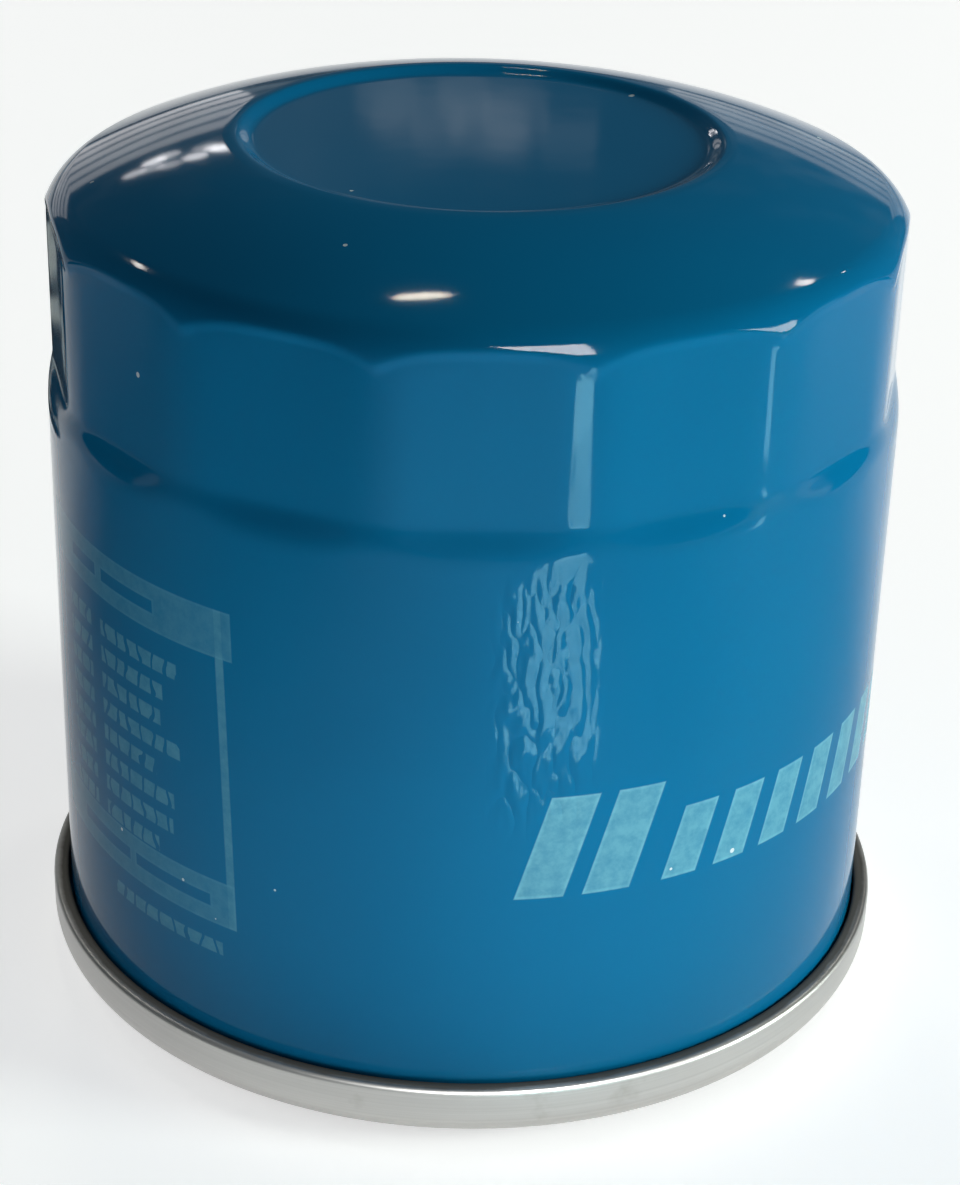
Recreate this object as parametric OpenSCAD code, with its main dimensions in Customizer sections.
// Spin-on engine oil filter, 3/4-16 thread, in millimetres.
// The origin is the centre of the gasket's sealing face, and +Z runs along the thread axis to the domed end.

/* [Can] */
// Outside radius of the can's wall
can_r = 32.75; // [32:0.25:34]
// Height from the lower rim to the ridge of the domed end
can_h = 66.6; // [62:0.2:72]
// Thickness of the can's drawn steel
can_wall = 0.42; // [0.36:0.02:0.5]
// Radius of the bend between the wall and the dome
shoulder_r = 3.8; // [3:0.2:6]
// Radius of the dome's slow curve, from the ridge to the shoulder
dome_arc_r = 48; // [42:1:60]
// Slope of the dome just outside the ridge, in degrees
dome_slope = 8; // [7:0.5:12]
// Radius of the ridge round the dished top
ridge_r = 18.3; // [16.5:0.25:19.5]
// Width of the slope inside the ridge
dish_slope_w = 1.5; // [1:0.1:2.5]
// Depth of the dished top below the ridge
dish_depth = 0.55; // [0.4:0.05:0.8]

/* [Wrench flats] */
// Number of flats pressed into the can's upper wall
flat_count = 14; // [12:1:16]
// Height above the rim at which the flats reach their full depth
flat_start = 48.5; // [40:0.5:52]
// Depth below the ridge at which the flats end, under the shoulder
flat_drop = 4.9; // [4:0.1:8]
// Width of the wall left between two flats
flat_land = 0.3; // [0.2:0.05:1]
// Angle between the can's wall and the run-out below each flat, in degrees
flat_runout = 16; // [12:1:45]
// Angle between the can's wall and the ledge above each flat, in degrees
flat_ledge = 45; // [30:1:60]

/* [Seam] */
// Thickness of the seaming lid's steel
lid_t = 0.38; // [0.32:0.02:0.44]
// Height of the rolled seam
seam_h = 4.3; // [3.8:0.1:4.8]
// Outside radius of the seam's lower bend
seam_bend_r = 2.0; // [1.8:0.05:2.2]
// Radius of the seam's upper edge
seam_edge_r = 0.3; // [0.2:0.05:0.35]
// Open gap between the can's wall and the rolled seam
seam_crevice = 0.19; // [0.15:0.01:0.3]
// Gap between folded layers, filled by the seaming compound's film
layer_gap = 0.04; // [0.03:0.01:0.06]
// Depth of the retaining lip inside the gasket
lip_h = 2.2; // [1.6:0.1:2.8]

/* [Gasket] */
// Distance that the gasket stands proud of the rim
gasket_proud = 1.2; // [0.8:0.1:1.8]
// Height of the gasket
gasket_h = 4.62; // [4.2:0.02:5]
// Width of the gasket's section
gasket_w = 3.2; // [2.8:0.1:3.6]
// Rounding of the gasket's free edges
gasket_edge_r = 0.45; // [0.3:0.05:0.7]
// Gap on each side of the gasket in its channel
gasket_clear = 0.55; // [0.3:0.05:0.8]

/* [Base plate] */
// Thickness of the base plate
plate_t = 2.6; // [2.2:0.1:3]
// Gap between the base plate's edge and the can
plate_clear = 0.7; // [0.5:0.1:1]
// Minor radius of the 3/4-16 thread
thread_r = 8.85; // [8.8:0.01:8.95]
// Wall of the threaded collar
collar_wall = 2.45; // [2:0.05:2.8]
// Height of the collar above the plate
collar_h = 7.4; // [6.8:0.1:8]
// Lead-in chamfer of the thread
thread_chamfer = 0.8; // [0.5:0.1:1]
// Number of inlet holes
inlet_count = 8; // [6:1:10]
// Radius of an inlet hole
inlet_r = 2.6; // [2.2:0.1:3]
// Radius of the circle of inlet holes
inlet_circle_r = 19; // [18:0.25:20]

/* [Anti-drain valve] */
// Wall of the rubber hub round the collar
hub_wall = 2.65; // [2.2:0.05:3]
// Height of the rubber hub
hub_h = 6.6; // [6.2:0.1:7]
// Gap between the collar and the hub
hub_fit = 0.05; // [0.03:0.01:0.1]
// Outside radius of the skirt's lip
skirt_r = 25.2; // [24:0.2:27]
// Thickness of the skirt
skirt_t = 1.0; // [0.8:0.1:1.4]
// Height of the skirt's ring on the hub
skirt_ring_h = 1.9; // [1.6:0.1:2.4]
// Height at which the skirt leaves the hub, above the plate
skirt_root = 2.9; // [2.4:0.1:3.4]
// Radial running gap between the hub and the skirt
skirt_fit = 0.05; // [0.03:0.01:0.09]
// Gap between the lip and the plate at rest
lip_gap = 0.05; // [0.03:0.01:0.1]

/* [Element] */
// Height from the lower cap's underside to the upper cap's top
element_h = 40.8; // [38:0.2:41]
// Gap between the can and the element's caps
element_clear = 2.7; // [2:0.1:3.5]
// Thickness of the end caps' steel
cap_t = 0.4; // [0.3:0.05:0.5]
// Height of the end caps' outer rims
cap_rim_h = 3.0; // [2.4:0.1:3.6]
// Gap between the threaded collar and the lower cap's neck
neck_clear = 0.3; // [0.2:0.05:0.5]
// Height of the lower cap's neck above its plate
neck_h = 1.8; // [1.2:0.1:2.4]
// Depth of the adhesive in each end cap
potting_t = 1.2; // [0.8:0.1:1.6]
// Gap between the adhesive and the pieces beside it
potting_clear = 0.1; // [0.05:0.01:0.2]
// Number of pleats in the paper
pleat_count = 48; // [40:1:56]
// Thickness of the filter paper
paper_t = 0.62; // [0.5:0.02:0.7]
// Gap between the pleats and the rims or the centre tube
pleat_clear = 0.5; // [0.3:0.05:0.8]
// Width of the metal clip on the paper's seam
clip_w = 2.1; // [1.9:0.05:2.5]
// Radial depth of the clip
clip_d = 2.0; // [1.6:0.1:2.4]
// Thickness of the clip's metal
clip_t = 0.3; // [0.25:0.05:0.4]

/* [Centre tube] */
// Gap between the lower cap's neck and the perforated tube round it
tube_clear = 1.1; // [0.4:0.1:1.4]
// Thickness of the tube's steel
tube_t = 0.4; // [0.3:0.05:0.5]
// Holes round the tube
tube_columns = 8; // [6:1:12]
// Rows of holes along the tube
tube_rows = 6; // [5:1:8]
// Radius of a hole in the tube
tube_hole_r = 1.5; // [1.2:0.1:1.8]

/* [Bypass valve] */
// Radius of the bypass port in the upper cap
port_r = 7.0; // [6.4:0.1:7.4]
// Distance that the seal overlaps the port's edge
seat_overlap = 1.4; // [1.1:0.1:1.6]
// Thickness of the bypass seal
seal_t = 0.8; // [0.6:0.1:1]
// Gap between the seal and the seat at rest
seat_gap = 0.05; // [0.03:0.01:0.1]
// Thickness of the poppet's plate
poppet_t = 0.6; // [0.5:0.05:0.8]
// Radius of the poppet's stem
stem_r = 1.5; // [1.2:0.1:1.8]
// Radial running gap between the stem and its guide
stem_fit = 0.05; // [0.03:0.01:0.09]
// Travel of the poppet from shut to full open
poppet_travel = 3.0; // [2:0.2:3.6]
// Outside radius of the valve's cage
cage_r = 10.0; // [9.8:0.1:10.6]
// Thickness of the cage's steel
cage_t = 0.4; // [0.35:0.05:0.5]
// Depth of the cage below the upper cap
cage_h = 11.0; // [10:0.2:13]
// Gap between the cage's flange and the centre tube
flange_clear = 1.1; // [0.4:0.1:1.5]
// Number of windows in the cage
window_count = 4; // [3:1:5]
// Width of each window
window_w = 9.0; // [6:0.2:9.6]
// Height of the guide round the stem
guide_h = 1.6; // [1.2:0.1:2.4]
// Radius of the bypass spring's coil, at the wire's centre
coil_r = 5.0; // [4.6:0.1:5.4]
// Radius of the bypass spring's wire
wire_r = 0.4; // [0.3:0.05:0.5]
// Turns of the bypass spring
coil_turns = 5; // [4:0.5:6]

/* [Element spring] */
// Thickness of the leaf spring's steel
leaf_t = 0.6; // [0.5:0.05:0.8]
// Width of the spring's seat ring
leaf_seat_w = 4.0; // [3:0.2:5]
// Gap between the bypass port's edge and the seat ring
leaf_port_clear = 3.0; // [2:0.2:4]
// Radius of the legs' tips
leaf_tip_r = 24; // [22:0.25:25]
// Width of each leg
leaf_w = 9; // [7:0.25:10]
// Gap between the legs' tips and the dome
leaf_gap = 0.1; // [0.05:0.05:0.3]

/* [Hidden] */
$fn = 160;
eps = 0.01;
arc_steps = 10;
leg_steps = 16;
coil_sides = 8;
coil_steps = 24;

// Seam layers, from the can's wall outwards
hook_in_r = can_r + seam_crevice;
hook_out_r = hook_in_r + lid_t;
body_hook_in_r = hook_out_r + layer_gap;
body_hook_out_r = body_hook_in_r + can_wall;
seam_in_r = body_hook_out_r + layer_gap;
seam_r = seam_in_r + lid_t;
bend_x = seam_r - seam_bend_r;
chuck_out_r = can_r - can_wall - layer_gap;
chuck_in_r = chuck_out_r - lid_t;

// Heights from the sealing face up
rim_z = gasket_proud;
top_z = rim_z + can_h;
bend_z = rim_z + seam_bend_r;
seam_top = rim_z + seam_h;
panel_z = gasket_h;
plate_z = panel_z + lid_t;
plate_top = plate_z + plate_t;
collar_top = plate_top + collar_h;
cap_z = plate_top + hub_h;
upper_top = cap_z + element_h;
upper_z = upper_top - cap_t;

// Gasket and its lip
gasket_out_r = chuck_in_r - gasket_clear;
gasket_in_r = gasket_out_r - gasket_w;
lip_r = gasket_in_r - gasket_clear;

// Base plate and valve
plate_r = can_r - can_wall - plate_clear;
collar_r = thread_r + collar_wall;
hub_in_r = collar_r + hub_fit;
hub_r = hub_in_r + hub_wall;
skirt_in_r = hub_r + skirt_fit;

// Dome: an arc from the ridge, tangent to the shoulder's arc
inner_r = can_r - can_wall;
dome_x = ridge_r - dome_arc_r * sin(dome_slope);
dome_z = top_z - dome_arc_r * cos(dome_slope);
shoulder_x = can_r - shoulder_r;
dome_end = asin((shoulder_x - dome_x) / (dome_arc_r - shoulder_r));
shoulder_z = dome_z + (dome_arc_r - shoulder_r) * cos(dome_end);
dish_r = ridge_r - dish_slope_w;

// Flats
flat_turn = 360 / flat_count;
flat_x = can_r * cos(flat_turn / 2 - asin(flat_land / 2 / can_r));
flat_z = rim_z + flat_start;
flat_top = top_z - flat_drop;

// Element
cap_r = inner_r - element_clear;
neck_in_r = collar_r + neck_clear;
tube_in_r = neck_in_r + cap_t + tube_clear;
tube_r = tube_in_r + tube_t;
paper_z = cap_z + cap_t + potting_t;
paper_top = upper_z - potting_t;
pleat_in_r = tube_r + pleat_clear;
pleat_out_r = cap_r - cap_t - pleat_clear;

// Bypass valve
seal_r = port_r + seat_overlap;
seal_in_r = port_r - seat_overlap;
seal_z = upper_z - seat_gap - seal_t;
poppet_z = seal_z - poppet_t;
cage_z = upper_z - cage_h;
cage_floor = cage_z + cage_t;
stem_end = cage_z - poppet_travel / 2;

// Points of an arc about a centre, from one angle to another, in degrees from +X
function arc(c, r, from, to, steps = arc_steps) =
    [for (i = [0:steps]) let (a = from + (to - from) * i / steps) c + r * [cos(a), sin(a)]];

// The closed end's section from the axis to the wall, set in by a wall's thickness
function closed_end(inset) = concat(
    [[0, top_z - dish_depth - inset]],
    [for (i = [0:arc_steps]) [
        dish_r + dish_slope_w * i / (arc_steps + 1),
        top_z - inset - dish_depth * (1 + cos(180 * i / (arc_steps + 1))) / 2]],
    arc([dome_x, dome_z], dome_arc_r - inset, 90 - dome_slope, 90 - dome_end),
    arc([shoulder_x, shoulder_z], shoulder_r - inset, 90 - dome_end, 0));

// Height of the dome's inside at a radius
function dome_inside(r) = dome_z + sqrt(pow(dome_arc_r - can_wall, 2) - pow(r - dome_x, 2));

// A ring with a rectangular section
module ring(r_in, r_out, z, h) {
    translate([0, 0, z])
        difference() {
            cylinder(r = r_out, h = h);
            translate([0, 0, -eps]) cylinder(r = r_in, h = h + 2 * eps);
        }
}

// The half-spaces that the wrench flats take off the can, set in by a wall's thickness
module flats(inset) {
    reach = 4;
    x = flat_x - inset;
    width = 2 * can_r * sin(flat_turn);
    for (k = [0:flat_count - 1])
        rotate([0, 0, k * flat_turn - 90])
            translate([0, width / 2, 0])
                rotate([90, 0, 0])
                    linear_extrude(width)
                        polygon([
                            [x, flat_z],
                            [x + reach, flat_z - reach / tan(flat_runout)],
                            [x + reach, flat_top + reach / tan(flat_ledge)],
                            [x, flat_top]]);
}

// Solid of revolution under the closed end
module can_form(inset, z) {
    rotate_extrude()
        polygon(concat([[0, z]], closed_end(inset), [[can_r - inset, z]]));
}

module can() {
    hook_top = seam_top - lid_t - 2 * layer_gap - lid_t;
    color([0.06, 0.40, 0.60]) {
        difference() {
            can_form(0, bend_z);
            flats(0);
            difference() {
                can_form(can_wall, bend_z - eps);
                flats(can_wall);
            }
        }
        // The flange, turned out and up into the seam
        rotate_extrude()
            polygon(concat(
                [[inner_r, bend_z]],
                [[inner_r, rim_z + lid_t + layer_gap + can_wall / 2]],
                arc([bend_x, bend_z], body_hook_out_r - bend_x, -80, 0),
                [[body_hook_out_r, hook_top]],
                [[body_hook_in_r, hook_top]],
                arc([bend_x, bend_z], body_hook_in_r - bend_x, 0, -60),
                [[can_r, bend_z]]));
    }
}

module seam_lid() {
    color([0.66, 0.65, 0.62])
        rotate_extrude() {
            // Retaining lip, gasket panel and the wall inside the can
            polygon([
                [lip_r - lid_t, panel_z + lid_t],
                [lip_r - lid_t, panel_z + lid_t - lip_h],
                [lip_r, panel_z + lid_t - lip_h],
                [lip_r, panel_z],
                [chuck_in_r, panel_z],
                [chuck_in_r, rim_z + lid_t],
                [chuck_in_r + lid_t / 2, rim_z],
                [bend_x, rim_z],
                [bend_x, rim_z + lid_t],
                [chuck_out_r, rim_z + lid_t],
                [chuck_out_r, panel_z + lid_t]]);
            // Lower bend, outer wall, upper edge and the hook turned down inside it
            polygon(concat(
                arc([bend_x, bend_z], seam_bend_r, -90, 0),
                arc([seam_r - seam_edge_r, seam_top - seam_edge_r], seam_edge_r, 0, 90),
                arc([hook_in_r + seam_edge_r, seam_top - seam_edge_r], seam_edge_r, 90, 180),
                [[hook_in_r, bend_z - can_wall / 2]],
                [[hook_out_r, bend_z - can_wall / 2]],
                [[hook_out_r, seam_top - lid_t]],
                [[seam_in_r, seam_top - lid_t]],
                arc([bend_x, bend_z], seam_in_r - bend_x, 0, -90)));
        }
}

module seam_sealant() {
    gap_z = seam_top - 2 * lid_t - layer_gap;
    color([0.80, 0.76, 0.62])
        ring(body_hook_in_r, body_hook_out_r, gap_z, seam_top - lid_t - layer_gap - gap_z);
}

module base_plate() {
    color([0.62, 0.62, 0.60])
        difference() {
            union() {
                translate([0, 0, plate_z]) cylinder(r = plate_r, h = plate_t);
                translate([0, 0, plate_z]) cylinder(r = collar_r, h = collar_top - plate_z);
            }
            translate([0, 0, plate_z - eps]) cylinder(r = thread_r, h = collar_top - plate_z + 2 * eps);
            translate([0, 0, plate_z - eps])
                cylinder(r1 = thread_r + thread_chamfer + eps, r2 = thread_r, h = thread_chamfer + eps);
            for (k = [0:inlet_count - 1])
                rotate([0, 0, (k + 0.5) * 360 / inlet_count])
                    translate([inlet_circle_r, 0, plate_z - eps])
                        cylinder(r = inlet_r, h = plate_t + 2 * eps);
        }
}

module mounting_gasket() {
    color([0.07, 0.07, 0.07])
        rotate_extrude()
            polygon(concat(
                arc([gasket_in_r + gasket_edge_r, gasket_edge_r], gasket_edge_r, 180, 270),
                arc([gasket_out_r - gasket_edge_r, gasket_edge_r], gasket_edge_r, 270, 360),
                [[gasket_out_r, gasket_h]],
                [[gasket_in_r, gasket_h]]));
}

module anti_drain_hub() {
    color([0.55, 0.16, 0.10])
        ring(hub_in_r, hub_r, plate_top, hub_h);
}

module anti_drain_skirt() {
    root_z = plate_top + skirt_root;
    lip_z = plate_top + lip_gap;
    land = 1.6;
    color([0.62, 0.20, 0.12])
        rotate_extrude()
            polygon([
                [skirt_in_r, root_z],
                [skirt_r - land, lip_z],
                [skirt_r, lip_z],
                [skirt_r, lip_z + skirt_t],
                [skirt_r - land, lip_z + skirt_t],
                [skirt_in_r + skirt_t, root_z + skirt_ring_h],
                [skirt_in_r, root_z + skirt_ring_h]]);
}

module lower_end_cap() {
    color([0.70, 0.69, 0.66]) {
        ring(neck_in_r, cap_r, cap_z, cap_t);
        ring(neck_in_r, neck_in_r + cap_t, cap_z, cap_t + neck_h);
        ring(cap_r - cap_t, cap_r, cap_z, cap_rim_h);
    }
}

module upper_end_cap() {
    color([0.70, 0.69, 0.66]) {
        ring(port_r, cap_r, upper_z, cap_t);
        ring(cap_r - cap_t, cap_r, upper_top - cap_rim_h, cap_rim_h);
    }
}

// Adhesive that fills an end cap between the centre tube and the rim
module adhesive(z) {
    ring(tube_r + potting_clear, cap_r - cap_t - potting_clear, z, potting_t);
}

module lower_adhesive() {
    color([0.78, 0.70, 0.45]) adhesive(cap_z + cap_t);
}

module upper_adhesive() {
    color([0.78, 0.70, 0.45]) adhesive(paper_top);
}

// One side of the pleated ring: peaks and valleys in turn, moved in by the paper's thickness
function pleats(r_out, r_in) = [for (i = [0:2 * pleat_count - 1])
    let (r = i % 2 == 0 ? r_out : r_in, a = 90 + 180 * i / pleat_count)
    r * [cos(a), sin(a)]];

module pleated_paper() {
    // A pleat's sides are nearly radial, so a paper's thickness across them is many times that along them
    flank = atan((pleat_out_r + pleat_in_r) * sin(90 / pleat_count) / (pleat_out_r - pleat_in_r));
    shift = paper_t / sin(flank);
    color([0.86, 0.72, 0.40])
        translate([0, 0, paper_z])
            linear_extrude(paper_top - paper_z)
                difference() {
                    polygon(pleats(pleat_out_r, pleat_in_r + shift));
                    polygon(pleats(pleat_out_r - shift, pleat_in_r));
                }
}

module paper_seam_clip() {
    y = pleat_out_r + pleat_clear / 2;
    slot_w = clip_w - 2 * clip_t;
    color([0.72, 0.71, 0.68])
        translate([0, y - clip_d, paper_z + clip_t])
            difference() {
                translate([-clip_w / 2, 0, 0]) cube([clip_w, clip_d, paper_top - paper_z - 2 * clip_t]);
                translate([-slot_w / 2, -eps, -eps])
                    cube([slot_w, clip_d - clip_t / 2 + eps, paper_top - paper_z]);
            }
}

module centre_tube() {
    first_z = paper_z + 2 * tube_hole_r;
    pitch = (paper_top - 2 * tube_hole_r - first_z) / (tube_rows - 1);
    color([0.70, 0.70, 0.68])
        difference() {
            ring(tube_in_r, tube_r, cap_z + cap_t, upper_z - cap_z - cap_t);
            for (row = [0:tube_rows - 1], k = [0:tube_columns - 1])
                rotate([0, 0, (k + (row % 2) / 2) * 360 / tube_columns])
                    translate([tube_r - 2 * tube_t, 0, first_z + row * pitch])
                        rotate([0, 90, 0]) cylinder(r = tube_hole_r, h = 3 * tube_t, $fn = 32);
        }
}

module bypass_cage() {
    window_h = cage_h - 5 * cage_t;
    guide_r = stem_r + stem_fit;
    color([0.60, 0.60, 0.58])
        difference() {
            union() {
                ring(cage_r - cage_t, cage_r, cage_z, cage_h);
                ring(cage_r - cage_t, tube_in_r - flange_clear, upper_z - cage_t, cage_t);
                translate([0, 0, cage_z]) cylinder(r = cage_r, h = cage_t);
                translate([0, 0, cage_z]) cylinder(r = guide_r + 2 * cage_t, h = guide_h);
            }
            translate([0, 0, cage_z - eps]) cylinder(r = guide_r, h = guide_h + 2 * eps);
            for (k = [0:window_count - 1])
                rotate([0, 0, k * 360 / window_count])
                    translate([cage_r - 3 * cage_t, -window_w / 2, cage_floor + cage_t])
                        cube([4 * cage_t, window_w, window_h]);
        }
}

module bypass_poppet() {
    color([0.68, 0.67, 0.64]) {
        translate([0, 0, poppet_z]) cylinder(r = seal_r, h = poppet_t);
        translate([0, 0, stem_end]) cylinder(r = stem_r, h = poppet_z - stem_end + eps);
    }
}

module bypass_seal() {
    color([0.10, 0.10, 0.10]) ring(seal_in_r, seal_r, seal_z, seal_t);
}

// Wire of round section along a helix, as rings of points joined by faces
module bypass_spring() {
    foot = cage_floor + wire_r + layer_gap;
    head = poppet_z - wire_r - layer_gap;
    count = coil_turns * coil_steps;
    rings = [for (i = [0:count], j = [0:coil_sides - 1])
        let (a = 360 * i / coil_steps, b = 360 * j / coil_sides, r = coil_r + wire_r * cos(b))
        [r * cos(a), r * sin(a), foot + (head - foot) * i / count + wire_r * sin(b)]];
    sides = [for (i = [0:count - 1], j = [0:coil_sides - 1])
        let (k = i * coil_sides, n = (j + 1) % coil_sides)
        [k + j, k + coil_sides + j, k + coil_sides + n, k + n]];
    start = [for (j = [0:coil_sides - 1]) j];
    end = [for (j = [0:coil_sides - 1]) count * coil_sides + coil_sides - 1 - j];
    color([0.55, 0.55, 0.54]) polyhedron(rings, concat([start], sides, [end]));
}

// Bowed legs that rise from a seat ring on the upper cap to the inside of the dome
module element_spring() {
    seat_in_r = port_r + leaf_port_clear;
    bend_r = seat_in_r + leaf_seat_w;
    tip_z = dome_inside(leaf_tip_r) - leaf_t - leaf_gap;
    leg = [for (i = [0:leg_steps]) [
        bend_r + (leaf_tip_r - bend_r) * i / leg_steps,
        upper_top + (tip_z - upper_top) * (1 - cos(180 * i / leg_steps)) / 2]];
    color([0.58, 0.59, 0.60]) {
        ring(seat_in_r, bend_r + eps, upper_top, leaf_t);
        intersection() {
            rotate_extrude()
                polygon(concat(
                    leg,
                    [for (i = [leg_steps:-1:0]) leg[i] + [0, leaf_t]]));
            for (turn = [0, 90])
                rotate([0, 0, turn])
                    translate([-can_r, -leaf_w / 2, upper_top])
                        cube([2 * can_r, leaf_w, top_z - upper_top]);
        }
    }
}

can();
seam_lid();
seam_sealant();
base_plate();
mounting_gasket();
anti_drain_hub();
anti_drain_skirt();
lower_end_cap();
upper_end_cap();
lower_adhesive();
upper_adhesive();
pleated_paper();
paper_seam_clip();
centre_tube();
bypass_cage();
bypass_poppet();
bypass_seal();
bypass_spring();
element_spring();
